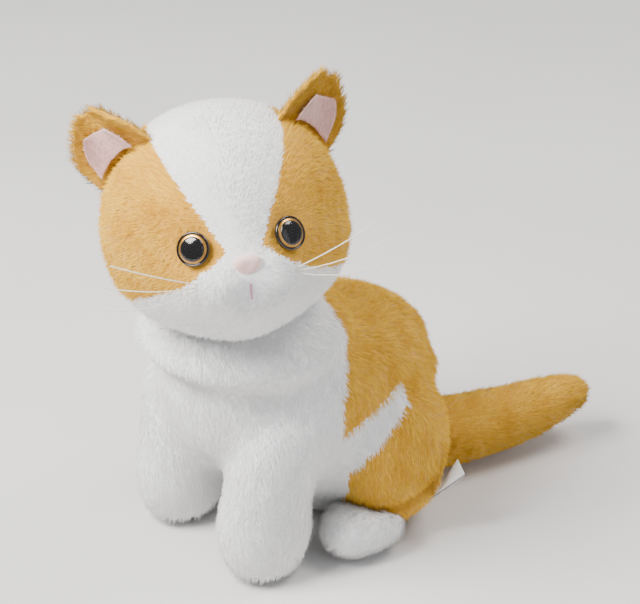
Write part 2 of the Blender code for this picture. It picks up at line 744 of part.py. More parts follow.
table = bmesh.new()
bmesh.ops.create_cube(table, size=0.4, matrix=Matrix.Translation((0, 0, -0.2)))
TABLE_CUTTER = add_cutter("table", table)
TAIL_BALL_CUTTER = add_cutter("tail_ball", ball(TAIL_CENTRE, TAIL_SEAT_RADIUS + GAP, 18, 12))
HEAD_SEAT_CUTTER = add_cutter("head_seat", ball(NECK_CENTRE, NECK_RADIUS + 2 * GAP))
HEAD_LOCAL = head_form()
HEAD_SKIN_CUTTER = add_cutter("head_skin", placed(grown(head_form(), GAP), head_frame()))
EAR_CUTTER = add_cutter("ear_clearance", placed(grown(head_form(), EAR_CLEARANCE), head_frame()))
EYE_FRAMES = {"left": eye_frame(1), "right": eye_frame(-1)}
EYE_SEAT_CUTTERS = {}
EYE_POCKET_CUTTERS = {}
for eye, eye_place in EYE_FRAMES.items():
    seat_form = placed(turned(eye_seat_profile(), EYE_STEPS), eye_place)
    pocket_form = placed(turned(eye_pocket_profile(), EYE_STEPS), eye_place)
    EYE_SEAT_CUTTERS[eye] = add_cutter(f"eye_seat_{eye}", seat_form)
    EYE_POCKET_CUTTERS[eye] = add_cutter(f"eye_pocket_{eye}", pocket_form)

build_torso()
build_seam_threads()
build_head()
build_eyes()
build_nose()
build_mouth()
build_whiskers()
build_ears()
build_legs()
build_tail()
build_label()
HEAD_LOCAL.free()
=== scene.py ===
"""Looks of the seated plush cat: stuffed skins with a combed pile, glossy eyes and a soft studio light.

Each stuffed form gets a smooth skin made from its CAD stuffing, and on the head from its covers as well.
A pile of short tapered strands grows from the skin.  Both take the colour of the nearest CAD panel, except
on the torso, whose colour edges are stated below.
"""

import json
import math

import bmesh
import bpy
import numpy as np
from mathutils import Matrix, Vector
from mathutils.bvhtree import BVHTree


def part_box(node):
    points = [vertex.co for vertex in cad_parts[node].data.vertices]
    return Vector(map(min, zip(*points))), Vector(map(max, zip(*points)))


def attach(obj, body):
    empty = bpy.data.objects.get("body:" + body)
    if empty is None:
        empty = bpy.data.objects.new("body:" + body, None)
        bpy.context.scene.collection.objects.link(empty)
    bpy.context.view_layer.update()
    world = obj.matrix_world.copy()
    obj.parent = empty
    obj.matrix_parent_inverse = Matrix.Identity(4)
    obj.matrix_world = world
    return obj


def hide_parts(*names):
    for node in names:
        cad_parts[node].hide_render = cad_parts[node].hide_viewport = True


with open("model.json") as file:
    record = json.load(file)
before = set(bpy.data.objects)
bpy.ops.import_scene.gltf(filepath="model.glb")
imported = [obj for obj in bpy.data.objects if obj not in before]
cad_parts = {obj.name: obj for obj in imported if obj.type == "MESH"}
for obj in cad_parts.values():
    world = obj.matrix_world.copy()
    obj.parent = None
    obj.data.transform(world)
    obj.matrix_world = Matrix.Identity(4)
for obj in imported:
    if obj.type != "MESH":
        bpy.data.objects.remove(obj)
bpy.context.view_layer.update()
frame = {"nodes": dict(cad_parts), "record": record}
NODES = frame["nodes"]
SIDES = ("left", "right")

# ---------------------------------------------------------------- driving dimensions
SKIN_VOXEL = 0.0030
HEAD_VOXEL = 0.0040      # closes the eye pockets of the head
EAR_VOXEL = 0.0016
LINING_VOXEL = 0.0007
NOSE_VOXEL = 0.0009
WELD = 0.00002           # closes the CAD facets before a skin swells
SKIN_SMOOTHING = 6
BODY_SMOOTHING = 14
SMALL_SMOOTHING = 3
PILE_INSET = 0.0022      # a skin lies this far inside its CAD cover, which leaves room for the pile
HEAD_INSET = 0.0008
STUFFING_INSET = 0.0038  # the CAD stuffing lies this far inside its cover
EAR_INSET = 0.0006
LINING_INSET = 0.0001
NOSE_INSET = -0.0003
BODY_SWELL = 0.0046      # enough for the stuffings of neighbouring forms to meet
FLOOR_CLEARANCE = 0.0003

# neck: a band evened out above and below the thread, and pushed out to cover it
NECK_BAND = 0.020
NECK_SMOOTHING = 140
NECK_THREAD_REACH = 0.0492
NECK_CORE = 0.03
NECK_FADE = 0.009

# face: two pads beside the mouth, a dip between them, a chin and the hollows of the eyes
PAD_ASIDE = 0.014
PAD_RISE = 0.003
PAD_PUSH = 0.0052
PAD_SPREAD = 0.0090
DIP_DROP = 0.002
DIP_DEPTH = 0.0020
DIP_SPREAD = 0.0042
CHIN_DROP = 0.017
CHIN_PUSH = 0.0016
CHIN_SPREAD = 0.0080
EYE_HOLLOW = 0.0012
EYE_HOLLOW_SPREAD = 0.0090
BARE_EYE = 0.0080        # no pile grows nearer than this to the eyes, nose and mouth
BARE_NOSE = 0.0052
BARE_MOUTH = 0.0030
SHORT_PILE = 0.45        # share of the pile's length beside the eyes and nose
SHORT_PILE_FROM = 0.007
SHORT_PILE_OVER = 0.013

# haunch fold
FOLD_RUN = Vector((0, 0.97, 0.25))
FOLD_DEPTH = 0.0030
FOLD_WIDTH = 0.0034
FOLD_LENGTH = 0.022

# ears
EAR_ROOT = 0.0052        # how far an ear's root runs down into the head
EAR_ROOT_FADE = 0.012
LINING_SHARE = 0.80      # size of the visible lining against its CAD node
EAR_PILE_SHARE = 0.7

# label
LABEL_WIDTH = 0.0105
LABEL_REACH = 0.0225     # the flat tape is twice this long
LABEL_GAP = 0.0006
LABEL_TWIST = -0.9
LABEL_ROWS = 48
LABEL_COLUMNS = 6

# eyes
EYE_RADIUS = 0.0075
IRIS_RADIUS = 0.0067
PUPIL_RADIUS = 0.0054
EYE_DEPTH = 0.0030
DOME_HEIGHT = 0.0012
DOME_EDGE = 0.0003

# the torso's colour edges, on each side: white chest, gold strip, white patch, gold back and rump
CHEST_EDGE_Y = -0.0305
CHEST_EDGE_TURN_Z = 0.091
CHEST_EDGE_TOP_Z = 0.109
CHEST_EDGE_SLOPE = 0.55
PATCH_TOP_Y = 0.0047
PATCH_TOP_Z = 0.0857
PATCH_SLOPE = 0.43
PATCH_BACK_Y = 0.006

# strands
STRAND_SIDES = 3
STRANDS_PER_MM2 = 1.5
MOST_STRANDS = 64000     # keeps each pile under 200,000 faces
CLUMP_SIZE = 0.0022
ROOT_DEPTH = 0.0004
LEAST_RISE = 0.12
SWIRL = 0.30
SWIRL_SIZE = 0.016
LENGTH_WAVE_SIZE = 0.010
TONE_WAVE_SIZE = 0.007
FRINGE = 0.5             # extra share of length at the table
FRINGE_HEIGHT = 0.016
HEAD_SEED = 11
BODY_SEED = 31
PAW_SEED = 51
TAIL_SEED = 71
EAR_SEED = 81

# camera
MIDDLE = Vector((0, -0.032, 0.10))
CAMERA_AZIMUTH = 50
CAMERA_ELEVATION = 30
CAMERA_DISTANCE = 1.1
CAMERA_LENS = 131.6
CAMERA_RIGHT = 0.0235
CAMERA_UP = 0.0179

# pile: length, radius at the root, lean from upright (0 to 1), untidiness, share pulled into clumps
GOLD_PILE = {"length": 0.0044, "radius": 0.00019, "lean": 0.74, "stray": 0.20, "clump": 0.36}
WHITE_PILE = {"length": 0.0036, "radius": 0.00022, "lean": 0.72, "stray": 0.10, "clump": 0.12}
PINK_PILE = {"length": 0.0012, "radius": 0.00016, "lean": 0.50, "stray": 0.30, "clump": 0.10}

GOLD_SHADES = ((0.62, 0.30, 0.018), (0.70, 0.37, 0.026), (0.78, 0.44, 0.040), (0.85, 0.52, 0.065))
WHITE_SHADES = ((0.87, 0.865, 0.86), (0.90, 0.895, 0.89), (0.93, 0.925, 0.92))
PINK_SHADES = ((0.72, 0.42, 0.40), (0.80, 0.50, 0.47), (0.86, 0.58, 0.55))
GOLD_CLOTH = (0.62, 0.30, 0.02)
WHITE_CLOTH = (0.88, 0.875, 0.87)
PINK_CLOTH = (0.76, 0.46, 0.43)


# ---------------------------------------------------------------- materials
def new_material(name, colour, roughness, metallic=0.0):
    material = bpy.data.materials.new(name)
    material.use_nodes = True
    shader = material.node_tree.nodes["Principled BSDF"]
    shader.inputs["Base Color"].default_value = (*colour, 1.0)
    shader.inputs["Roughness"].default_value = roughness
    shader.inputs["Metallic"].default_value = metallic
    return material, shader


def link_mottle(material, shader, dark, light, scale, detail=4.0):
    """Varies the colour gently between two values."""
    nodes = material.node_tree.nodes
    links = material.node_tree.links
    place = nodes.new("ShaderNodeTexCoord")
    noise = nodes.new("ShaderNodeTexNoise")
    noise.inputs["Scale"].default_value = scale
    noise.inputs["Detail"].default_value = detail
    ramp = nodes.new("ShaderNodeValToRGB")
    ramp.color_ramp.elements[0].position = 0.35
    ramp.color_ramp.elements[0].color = (*dark, 1.0)
    ramp.color_ramp.elements[1].position = 0.65
    ramp.color_ramp.elements[1].color = (*light, 1.0)
    links.new(place.outputs["Object"], noise.inputs["Vector"])
    links.new(noise.outputs["Fac"], ramp.inputs["Fac"])
    links.new(ramp.outputs["Color"], shader.inputs["Base Color"])
    return noise


def link_bump(material, shader, source, strength, distance):
    nodes = material.node_tree.nodes
    links = material.node_tree.links
    bump = nodes.new("ShaderNodeBump")
    bump.inputs["Strength"].default_value = strength
    bump.inputs["Distance"].default_value = distance
    links.new(source, bump.inputs["Height"])
    links.new(bump.outputs["Normal"], shader.inputs["Normal"])


def darker(colour, share):
    return tuple(channel * share for channel in colour)


def cloth_material(name, colour, scale=900.0):
    """Knitted backing under the pile."""
    material, shader = new_material(name, colour, 0.95)
    noise = link_mottle(material, shader, darker(colour, 0.88), colour, scale)
    link_bump(material, shader, noise.outputs["Fac"], 0.5, 0.0006)
    shader.inputs["Sheen Weight"].default_value = 0.4
    shader.inputs["Sheen Roughness"].default_value = 0.5
    return material


def pile_materials(name, shades, sheen=0.35):
    """One material for each shade of strand."""
    made = []
    for number, shade in enumerate(shades):
        material, shader = new_material(f"{name}_{number}", shade, 0.85)
        shader.inputs["Sheen Weight"].default_value = sheen
        shader.inputs["Specular IOR Level"].default_value = 0.12
        shader.inputs["Sheen Roughness"].default_value = 0.4
        made.append(material)
    return made


def moulded_material(name, colour, roughness, coat=0.0, metallic=0.0, scale=600.0):
    """Plastic or metal foil with a slight unevenness."""
    material, shader = new_material(name, colour, roughness, metallic)
    noise = link_mottle(material, shader, darker(colour, 0.82), colour, scale, 3.0)
    link_bump(material, shader, noise.outputs["Fac"], 0.05, 0.0002)
    shader.inputs["Coat Weight"].default_value = coat
    shader.inputs["Coat Roughness"].default_value = 0.03
    return material


def thread_material(name, colour):
    """Twisted sewing thread."""
    material, shader = new_material(name, colour, 0.8)
    link_mottle(material, shader, darker(colour, 0.8), colour, 1500.0)
    nodes = material.node_tree.nodes
    place = nodes.new("ShaderNodeTexCoord")
    twist = nodes.new("ShaderNodeTexWave")
    twist.inputs["Scale"].default_value = 700.0
    material.node_tree.links.new(place.outputs["Object"], twist.inputs["Vector"])
    link_bump(material, shader, twist.outputs["Fac"], 0.6, 0.0002)
    return material


CLOTHS = {
    "gold_plush": cloth_material("gold_cloth", GOLD_CLOTH),
    "white_plush": cloth_material("white_cloth", WHITE_CLOTH),
    "pink_plush": cloth_material("pink_cloth", PINK_CLOTH, 1400.0),
}
PILES = {
    "gold_plush": (GOLD_PILE, pile_materials("gold_strand", GOLD_SHADES, 0.0)),
    "white_plush": (WHITE_PILE, pile_materials("white_strand", WHITE_SHADES)),
    "pink_plush": (PINK_PILE, pile_materials("pink_strand", PINK_SHADES)),
}
SLOT_OF = {entry["node"]: entry["material_slot"] for entry in frame["record"]["subparts"]}
BODY_OF = {node: body for body, nodes in frame["record"]["behaviour"]["bodies"].items() for node in nodes}
JOINTS = {joint["name"]: joint for joint in frame["record"]["behaviour"]["joints"]}


# ---------------------------------------------------------------- places read from the frame
def middle(node):
    low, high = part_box(node)
    return (Vector(low) + Vector(high)) / 2


FACE_AIM = middle("nose") - middle("head_stuffing")
FACE_AIM.z = 0
FACE_AIM.normalize()
NOSE_PLACE = middle("nose")
TAIL_ROOT = Vector(JOINTS["tail_swing"]["pos_m"])
TAIL_AIM = (middle("tail_stuffing") - TAIL_ROOT).normalized()


# ---------------------------------------------------------------- skins
def joined_copy(name, nodes):
    """One mesh of several CAD nodes, which stay as they are."""
    form = bmesh.new()
    for node in nodes:
        form.from_mesh(NODES[node].data)
    bmesh.ops.remove_doubles(form, verts=form.verts, dist=WELD)
    mesh = bpy.data.meshes.new(name)
    form.to_mesh(mesh)
    form.free()
    skin = bpy.data.objects.new(name, mesh)
    bpy.context.scene.collection.objects.link(skin)
    return skin


def applied(piece):
    """Applies every modifier of a piece."""
    shape = piece.evaluated_get(bpy.context.evaluated_depsgraph_get())
    mesh = bpy.data.meshes.new_from_object(shape)
    piece.modifiers.clear()
    piece.data = mesh


def keep_outer_shell(mesh):
    """Keeps the largest island, so no inner wall carries a pile."""
    form = bmesh.new()
    form.from_mesh(mesh)
    unseen = set(form.verts)
    islands = []
    while unseen:
        stack = [unseen.pop()]
        island = []
        while stack:
            vert = stack.pop()
            island.append(vert)
            for edge in vert.link_edges:
                other = edge.other_vert(vert)
                if other in unseen:
                    unseen.discard(other)
                    stack.append(other)
        islands.append(island)
    islands.sort(key=len)
    for island in islands[:-1]:
        bmesh.ops.delete(form, geom=island, context="VERTS")
    form.to_mesh(mesh)
    form.free()


def make_skin(name, nodes, voxel, inset, smoothing=SKIN_SMOOTHING, swell=0.0):
    """A smooth closed skin round CAD nodes, which swell first so that neighbours flow together."""
    skin = joined_copy(name, nodes)
    if swell:
        bigger = skin.modifiers.new("swell", "DISPLACE")
        bigger.strength = swell
        bigger.mid_level = 0.0
    remesh = skin.modifiers.new("remesh", "REMESH")
    remesh.mode = "VOXEL"
    remesh.voxel_size = voxel
    applied(skin)
    keep_outer_shell(skin.data)
    smooth = skin.modifiers.new("smooth", "SMOOTH")
    smooth.factor = 0.5
    smooth.iterations = smoothing
    shrink = skin.modifiers.new("inset", "DISPLACE")
    shrink.strength = -inset
    shrink.mid_level = 0.0
    finer = skin.modifiers.new("finer", "SUBSURF")
    finer.levels = 1
    finer.render_levels = 1
    applied(skin)
    skin.data.shade_smooth()
    return skin


def labelled_tree(labels):
    """A search tree of CAD nodes, and the label of each of its faces."""
    corners = []
    faces = []
    found = []
    for node, label in labels.items():
        mesh = NODES[node].data
        start = len(corners)
        corners.extend(vert.co.copy() for vert in mesh.vertices)
        for face in mesh.polygons:
            faces.append([start + corner for corner in face.vertices])
            found.append(label)
    return BVHTree.FromPolygons(corners, faces), found


def nearest_finish(nodes):
    """The finish of whichever CAD panel is nearest."""
    tree, slots = labelled_tree({node: SLOT_OF[node] for node in nodes})
    return lambda place: slots[tree.find_nearest(place)[2]]


def torso_finish(place):
    """White chest and side patches; gold back, rump and the strip between chest and patch."""
    above_turn = max(0.0, min(place.z, CHEST_EDGE_TOP_Z) - CHEST_EDGE_TURN_Z)
    chest_edge = CHEST_EDGE_Y + above_turn * CHEST_EDGE_SLOPE
    above_patch = place.z > PATCH_TOP_Z + (place.y - PATCH_TOP_Y) * PATCH_SLOPE
    if place.y < chest_edge:
        return "white_plush"
    return "gold_plush" if above_patch or place.y > PATCH_BACK_Y else "white_plush"


def paint_skin(skin, finish_at):
    """Gives each face its cloth, and returns the finish that most of them have."""
    found = [finish_at(face.center) for face in skin.data.polygons]
    order = sorted(set(found))
    skin.data.materials.clear()
    for slot in order:
        skin.data.materials.append(CLOTHS[slot])
    for face, slot in zip(skin.data.polygons, found):
        face.material_index = order.index(slot)
    return max(order, key=found.count)


# ---------------------------------------------------------------- pile
def wavy(points, size, seed):
    """Smooth noise from -1 to 1 that changes over about the given size."""
    rng = np.random.default_rng(seed)
    total = np.zeros(len(points))
    for _ in range(6):
        wave = rng.normal(size=3)
        wave *= math.tau / (size * 2.4) * rng.uniform(0.6, 1.5) / np.linalg.norm(wave)
        total += np.sin(points @ wave + rng.uniform(0, math.tau))
    return total / 3.5


def unit(vectors):
    return vectors / np.maximum(np.linalg.norm(vectors, axis=1, keepdims=True), 1e-9)


def scattered(mesh, per_mm2, seed):
    """Random points on a mesh, with their smooth normals."""
    mesh.calc_loop_triangles()
    places = np.empty(len(mesh.vertices) * 3)
    mesh.vertices.foreach_get("co", places)
    places = places.reshape(-1, 3)
    normals = np.empty(len(mesh.vertices) * 3)
    mesh.vertices.foreach_get("normal", normals)
    normals = normals.reshape(-1, 3)
    corners = np.empty(len(mesh.loop_triangles) * 3, dtype=np.int32)
    mesh.loop_triangles.foreach_get("vertices", corners)
    corners = corners.reshape(-1, 3)
    first, second, third = (places[corners[:, side]] for side in range(3))
    areas = np.linalg.norm(np.cross(second - first, third - first), axis=1) / 2
    count = int(areas.sum() * 1e6 * per_mm2)
    rng = np.random.default_rng(seed)
    pick = rng.choice(len(corners), count, p=areas / areas.sum())
    across = np.sqrt(rng.random(count))
    along = rng.random(count)
    shares = np.stack((1 - across, across * (1 - along), across * along), axis=1)[:, :, None]
    roots = (places[corners[pick]] * shares).sum(axis=1)
    upright = unit((normals[corners[pick]] * shares).sum(axis=1))
    return roots, upright, rng


def gather_tips(roots, tips, share):
    """Draws the tips of neighbouring strands together, as pile clumps."""
    cells = np.floor(roots / CLUMP_SIZE).astype(np.int64)
    key = cells[:, 0] * 73856093 ^ cells[:, 1] * 19349663 ^ cells[:, 2] * 83492791
    _, group = np.unique(key, return_inverse=True)
    sizes = np.bincount(group)
    centre = np.stack([np.bincount(group, tips[:, axis]) / sizes for axis in range(3)], axis=1)
    return tips + (centre[group] - tips) * share


def strand_mesh(name, roots, tips, upright, radius, shade, materials):
    """Three-sided tapered strands, shaded partly as the skin they grow from."""
    count = len(roots)
    growth = unit(tips - roots)
    side = unit(np.cross(growth, upright + 1e-4))
    over = np.cross(growth, side)
    rings = []
    for step in range(STRAND_SIDES):
        angle = math.tau * step / STRAND_SIDES
        rings.append(roots + radius[:, None] * (side * math.cos(angle) + over * math.sin(angle)))
    corners = np.stack([*rings, tips], axis=1).reshape(-1, 3)
    corners[:, 2] = np.maximum(corners[:, 2], FLOOR_CLEARANCE)
    base = np.arange(count)[:, None] * (STRAND_SIDES + 1)
    faces = []
    for step in range(STRAND_SIDES):
        following = (step + 1) % STRAND_SIDES
        faces.append(np.concatenate((base + step, base + following, base + STRAND_SIDES), axis=1))
    faces = np.stack(faces, axis=1).reshape(-1, 3)
    mesh = bpy.data.meshes.new(name)
    mesh.vertices.add(len(corners))
    mesh.vertices.foreach_set("co", corners.ravel())
    mesh.loops.add(faces.size)
    mesh.loops.foreach_set("vertex_index", faces.ravel().astype(np.int32))
    mesh.polygons.add(len(faces))
    mesh.polygons.foreach_set("loop_start", np.arange(0, faces.size, 3, dtype=np.int32))
    mesh.polygons.foreach_set("material_index", np.repeat(shade, STRAND_SIDES).astype(np.int32))
    mesh.update(calc_edges=True)
    mesh.shade_smooth()
    outward = np.stack([ring - roots for ring in rings] + [upright * radius[:, None]], axis=1)
    shading = unit((unit(outward.reshape(-1, 3)) * 0.45) + np.repeat(upright, STRAND_SIDES + 1, axis=0))
    mesh.normals_split_custom_set_from_vertices(shading.tolist())
    for material in materials:
        mesh.materials.append(material)
    piece = bpy.data.objects.new(name, mesh)
    bpy.context.scene.collection.objects.link(piece)
    return piece


def grow_pile(skin, finish_at, comb, seed, bare=(), longer=None):
    """Grows one pile for each finish on a skin, combed along the directions that comb gives."""
    roots, upright, rng = scattered(skin.data, STRANDS_PER_MM2, seed)
    found = [finish_at(Vector(place)) for place in roots]
    order = sorted(set(found))
    finish = np.array([order.index(slot) for slot in found])
    clear = np.ones(len(roots), dtype=bool)
    for place, reach in bare:
        clear &= np.linalg.norm(roots - np.array(place), axis=1) > reach
    for index, slot in enumerate(order):
        chosen = np.flatnonzero((finish == index) & clear)[:MOST_STRANDS]
        if not len(chosen):
            continue
        pile, materials = PILES[slot]
        root = roots[chosen]
        normal = upright[chosen]
        flow = comb(root)
        flow = unit(flow - (flow * normal).sum(axis=1, keepdims=True) * normal)
        swirl = np.cross(normal, flow) * (wavy(root, SWIRL_SIZE, seed + 7) * SWIRL)[:, None]
        stray = rng.normal(size=root.shape) * pile["stray"]
        growth = unit(normal * (1 - pile["lean"]) + (flow + swirl) * pile["lean"] + stray)
        under = (growth * normal).sum(axis=1, keepdims=True)
        growth = unit(growth + normal * np.maximum(LEAST_RISE - under, 0))
        uneven = wavy(root, LENGTH_WAVE_SIZE, seed + 3) * 0.12 + rng.normal(size=len(root)) * 0.14
        length = pile["length"] * (1 + uneven)
        if longer is not None:
            length = length * longer(root)
        tips = gather_tips(root, root + growth * length[:, None], pile["clump"])
        radius = pile["radius"] * rng.uniform(0.75, 1.25, len(root))
        tone = 0.5 + wavy(root, TONE_WAVE_SIZE, seed + 11) * 0.22 + rng.normal(size=len(root)) * 0.22
        shade = np.clip((tone * len(materials)).astype(int), 0, len(materials) - 1)
        name = skin.name.replace("_skin", "") + "_pile_" + slot.split("_")[0]
        fur = strand_mesh(name, root - normal * ROOT_DEPTH, tips, normal, radius, shade, materials)
        fur.parent = skin


def steady(direction):
    """A comb that runs one way."""
    return lambda points: np.tile(np.array(direction), (len(points), 1))


def face_comb(points):
    """The head's pile runs away from the nose, and down."""
    away = unit(points - np.array(NOSE_PLACE))
    return away + np.array((0, 0, -0.45))


def swollen(skin, centre, push, spread):
    """Pushes a soft swelling, or with a push inwards a dent, into a skin."""
    for vert in skin.data.vertices:
        away = (vert.co - centre).length_squared
        vert.co += push * math.exp(-away / (2 * spread * spread))


def creased(skin, centre, direction, normal, depth, width, length):
    """Draws a fold along a line, deep in the middle and gone at its ends."""
    for vert in skin.data.vertices:
        offset = vert.co - centre
        along = offset.dot(direction)
        across = offset.dot(direction.cross(normal))
        fade = math.exp(-((along / length) ** 4)) if offset.dot(normal) > -0.02 else 0.0
        groove = math.exp(-((across / width) ** 2))
        roll = math.exp(-(((across - 2 * width) / (1.6 * width)) ** 2))
        vert.co += normal * depth * fade * (0.7 * roll - groove)


# ---------------------------------------------------------------- stuffed forms
def dressed(skin, covers, nodes, comb, seed, finish_at=None, bare=(), longer=None):
    """Gives a stuffed skin its cloth and pile, in place of its CAD covers and stuffing."""
    finish_at = finish_at or nearest_finish(covers)
    paint_skin(skin, finish_at)
    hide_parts(*nodes)
    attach(skin, BODY_OF[covers[0]])
    grow_pile(skin, finish_at, comb, seed, bare, longer)


def on_table(skin):
    """Lifts whatever would reach below the table."""
    for vert in skin.data.vertices:
        vert.co.z = max(vert.co.z, FLOOR_CLEARANCE)


def stuffed(name, comb, seed, longer=None):
    """Skin and pile of a stuffed form that stands alone."""
    cover = f"{name}_cover"
    stuffing = f"{name}_stuffing"
    skin = make_skin(f"{name}_skin", [stuffing], SKIN_VOXEL, PILE_INSET - STUFFING_INSET)
    on_table(skin)
    dressed(skin, [cover], [cover, stuffing], comb, seed, None, (), longer)


def share_of(whole, name, wanted, tree, owners):
    """The faces of a skin that lie nearest to one form's CAD covers."""
    piece = whole.copy()
    piece.data = whole.data.copy()
    piece.name = name
    bpy.context.scene.collection.objects.link(piece)
    form = bmesh.new()
    form.from_mesh(piece.data)
    others = [f for f in form.faces if owners[tree.find_nearest(f.calc_center_median())[2]] != wanted]
    bmesh.ops.delete(form, geom=others, context="FACES")
    form.to_mesh(piece.data)
    form.free()
    return piece


def make_head():
    panels = ["blaze_panel", "cheek_panel_left", "cheek_panel_right", "muzzle_panel", "jaw_panel"]
    covers = [*panels, "head_back_panel"]
    bare = [(middle(f"eye_base_{side}"), BARE_EYE) for side in SIDES]
    bare.append((NOSE_PLACE, BARE_NOSE))
    bare.append((middle("mouth_stitch"), BARE_MOUTH))
    skin = make_skin("head_skin", [*covers, "head_stuffing"], HEAD_VOXEL, HEAD_INSET)
    shape_face(skin)
    nodes = [*covers, "head_stuffing"]
    dressed(skin, covers, nodes, face_comb, HEAD_SEED, None, bare, face_length)


def shape_face(skin):
    """Two muzzle pads beside the mouth, a dip between them, a chin, and hollows at the eyes."""
    mouth = middle("mouth_stitch")
    across = FACE_AIM.cross(Vector((0, 0, 1))).normalized()
    for sign in (1, -1):
        pad = mouth + across * sign * PAD_ASIDE + Vector((0, 0, PAD_RISE))
        swollen(skin, pad, FACE_AIM * PAD_PUSH, PAD_SPREAD)
    swollen(skin, mouth + Vector((0, 0, -DIP_DROP)), FACE_AIM * -DIP_DEPTH, DIP_SPREAD)
    swollen(skin, mouth + Vector((0, 0, -CHIN_DROP)), FACE_AIM * CHIN_PUSH, CHIN_SPREAD)
    for side in SIDES:
        eye = middle(f"eye_base_{side}")
        inward = (middle("head_stuffing") - eye).normalized()
        swollen(skin, eye, inward * EYE_HOLLOW, EYE_HOLLOW_SPREAD)


def face_length(points):
    """The pile is shortest round the eyes and nose."""
    share = np.ones(len(points))
    for place in [middle(f"eye_base_{side}") for side in SIDES] + [NOSE_PLACE]:
        away = np.linalg.norm(points - np.array(place), axis=1)
        grown = np.clip((away - SHORT_PILE_FROM) / SHORT_PILE_OVER, 0, 1)
        share = np.minimum(share, SHORT_PILE + (1 - SHORT_PILE) * grown)
    return share


def low_fringe(points):
    """The pile is longer close to the table."""
    return 1 + FRINGE * np.clip(1 - points[:, 2] / FRINGE_HEIGHT, 0, 1)


def make_body():
    """Torso, forelegs and haunches share one flowing skin, which is then parted where they are sewn."""
    torso = ["chest_panel", "base_panel", "rump_panel"]
    torso += [f"{panel}_{side}" for panel in ("back_panel", "flank_panel") for side in SIDES]
    limbs = [f"{limb}_{side}" for limb in ("foreleg", "haunch") for side in SIDES]
    covers = {"torso": torso, **{limb: [f"{limb}_cover"] for limb in limbs}}
    stuffing = [f"{name}_stuffing" for name in covers]
    inset = BODY_SWELL + PILE_INSET - STUFFING_INSET
    whole = make_skin("body", stuffing, SKIN_VOXEL, inset, BODY_SMOOTHING, BODY_SWELL)
    cover_neck_thread(whole)
    for side in SIDES:
        shape_haunch(whole, side)
    on_table(whole)
    tree, owners = labelled_tree({node: name for name, nodes in covers.items() for node in nodes})
    flows = {"torso": (0, 0.35, -1), "foreleg": (0, -0.15, -1), "haunch": (0, 0.25, -1)}
    for number, (name, nodes) in enumerate(covers.items()):
        piece = share_of(whole, f"{name}_skin", name, tree, owners)
        finish_at = torso_finish if name == "torso" else None
        comb = steady(flows[name.split("_")[0]])
        replaced = [*nodes, f"{name}_stuffing"]
        seed = BODY_SEED + number
        dressed(piece, nodes, replaced, comb, seed, finish_at, (), low_fringe)
    bpy.data.objects.remove(whole)


def make_paws_and_tail():
    for number, side in enumerate(SIDES):
        stuffed(f"hind_paw_{side}", steady((0, -1, -0.45)), PAW_SEED + number, low_fringe)
    stuffed("tail", steady(TAIL_AIM), TAIL_SEED)


def cover_neck_thread(skin):
    """The fabric runs smoothly from chest to neck, over the thread that sews the head on."""
    ring = middle("neck_seam_thread")
    form = bmesh.new()
    form.from_mesh(skin.data)
    band = [vert for vert in form.verts if abs(vert.co.z - ring.z) < NECK_BAND]
    axes = {"use_axis_x": True, "use_axis_y": True, "use_axis_z": True}
    for _ in range(NECK_SMOOTHING):
        bmesh.ops.smooth_vert(form, verts=band, factor=0.5, **axes)
    for vert in band:
        outward = Vector((vert.co.x - ring.x, vert.co.y - ring.y, 0))
        if NECK_CORE < outward.length < NECK_THREAD_REACH:
            near = math.exp(-(((vert.co.z - ring.z) / NECK_FADE) ** 2))
            vert.co += outward.normalized() * (NECK_THREAD_REACH - outward.length) * near
    form.to_mesh(skin.data)
    form.free()


def shape_haunch(skin, side):
    """A fold crosses the haunch low down, with a roll of fabric under it."""
    low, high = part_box(f"haunch_{side}_cover")
    outward = Vector((1 if side == "left" else -1, 0, 0))
    widest = high[0] if side == "left" else low[0]
    fold = Vector((widest, low[1] * 0.55 + high[1] * 0.45, low[2] * 0.72 + high[2] * 0.28))
    creased(skin, fold, FOLD_RUN, outward, FOLD_DEPTH, FOLD_WIDTH, FOLD_LENGTH)


def make_ears():
    """Each ear is a gold outer with a fringe and a pink lining of short pile."""
    for number, side in enumerate(SIDES):
        hinge = Vector(JOINTS[f"ear_fold_{side}"]["pos_m"])
        rise = (middle(f"ear_outer_{side}") - hinge).normalized()
        sheets = (("ear_outer", EAR_VOXEL, EAR_INSET), ("ear_lining", LINING_VOXEL, LINING_INSET))
        for node, voxel, inset in sheets:
            full = f"{node}_{side}"
            skin = make_skin(f"{full}_skin", [full], voxel, inset, SMALL_SMOOTHING)
            if node == "ear_lining":
                centre = middle(full)
                for vert in skin.data.vertices:
                    vert.co = centre + (vert.co - centre) * LINING_SHARE
            else:
                root_ear(skin)
            finish_at = nearest_finish([full])
            paint_skin(skin, finish_at)
            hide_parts(full)
            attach(skin, BODY_OF[full])
            rim = rim_length(full) if node == "ear_outer" else None
            grow_pile(skin, finish_at, steady(rise), EAR_SEED + number, (), rim)


def root_ear(skin):
    """Draws the foot of an ear down to the head it is sewn to."""
    centre = middle("head_stuffing")
    distances = [(vert.co - centre).length for vert in skin.data.vertices]
    nearest = min(distances)
    for vert, distance in zip(skin.data.vertices, distances):
        share = max(0.0, 1 - (distance - nearest) / EAR_ROOT_FADE)
        vert.co += (centre - vert.co).normalized() * EAR_ROOT * share


def rim_length(node):
    """An ear's pile is longest far from its hinge."""
    hinge = np.array(JOINTS[f"ear_fold_{node.rsplit('_', 1)[1]}"]["pos_m"])
    low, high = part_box(node)
    reach = np.linalg.norm(np.array(high) - np.array(low)) / 2
    near = EAR_PILE_SHARE
    return lambda points: near + near * np.clip(np.linalg.norm(points - hinge, axis=1) / reach, 0, 1)


